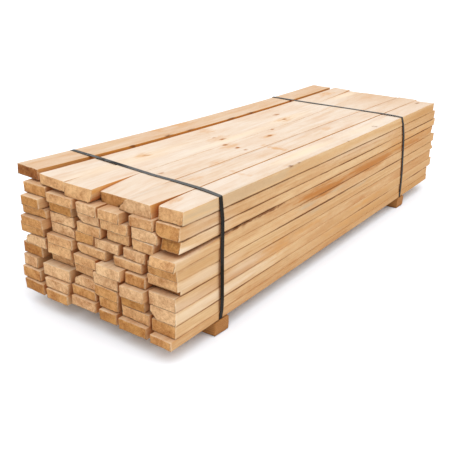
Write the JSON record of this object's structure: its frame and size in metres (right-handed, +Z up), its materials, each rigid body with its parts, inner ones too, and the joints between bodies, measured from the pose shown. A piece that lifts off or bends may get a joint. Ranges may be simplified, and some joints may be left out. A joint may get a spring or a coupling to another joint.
{
  "type": "bundle of pine studs",
  "caption": "Strapped bundle of rough-sawn pine studs, laid up in layers on two bearers and held by two flat straps.",
  "frame": {"origin": "on the floor, under the middle of the bundle's box", "axes": "+X along the studs to the far end, +Y from the fair long side to the ragged back, +Z up"},
  "size_m": [2.25, 0.739, 0.5029],
  "materials": {
    "stud": "rough-sawn pale pine, unplaned, with knots and darker end grain",
    "bearer": "rough-sawn weathered pine, darker than the studs",
    "strap": "black polyester strapping with a faint sheen"
  },
  "bodies": {
    "root": {"top_stud_1": "stud", "top_stud_2": "stud", "top_stud_5": "stud", "top_stud_6": "stud", "top_studs_3_4": "stud", "layer02_stud_1": "stud", "layer02_stud_2": "stud", "layer02_stud_5": "stud", "layer02_stud_6": "stud", "layer02_studs_3_4": "stud", "layer03_stud_1": "stud", "layer03_stud_2": "stud", "layer03_stud_5": "stud", "layer03_stud_6": "stud", "layer03_studs_3_4": "stud", "layer04_stud_1": "stud", "layer04_stud_2": "stud", "layer04_stud_5": "stud", "layer04_stud_6": "stud", "layer04_studs_3_4": "stud", "layer05_stud_1": "stud", "layer05_stud_2": "stud", "layer05_stud_5": "stud", "layer05_stud_6": "stud", "layer05_studs_3_4": "stud", "layer06_stud_1": "stud", "layer06_stud_2": "stud", "layer06_stud_3": "stud", "layer06_stud_4": "stud", "layer06_stud_5": "stud", "layer07_stud_1": "stud", "layer07_stud_2": "stud", "layer07_stud_5": "stud", "layer07_stud_6": "stud", "layer07_studs_3_4": "stud", "layer08_stud_1": "stud", "layer08_stud_2": "stud", "layer08_stud_5": "stud", "layer08_stud_6": "stud", "layer08_studs_3_4": "stud", "layer09_stud_1": "stud", "layer09_stud_2": "stud", "layer09_stud_5": "stud", "layer09_stud_6": "stud", "layer09_studs_3_4": "stud", "layer10_stud_1": "stud", "layer10_stud_2": "stud", "layer10_stud_5": "stud", "layer10_stud_6": "stud", "layer10_studs_3_4": "stud", "layer11_stud_1": "stud", "layer11_stud_2": "stud", "layer11_stud_5": "stud", "layer11_stud_6": "stud", "layer11_studs_3_4": "stud", "bearer_far": "bearer", "bearer_near": "bearer", "packing_board": "stud", "strap_far": "strap", "strap_near": "strap"}
  },
  "joints": []
}
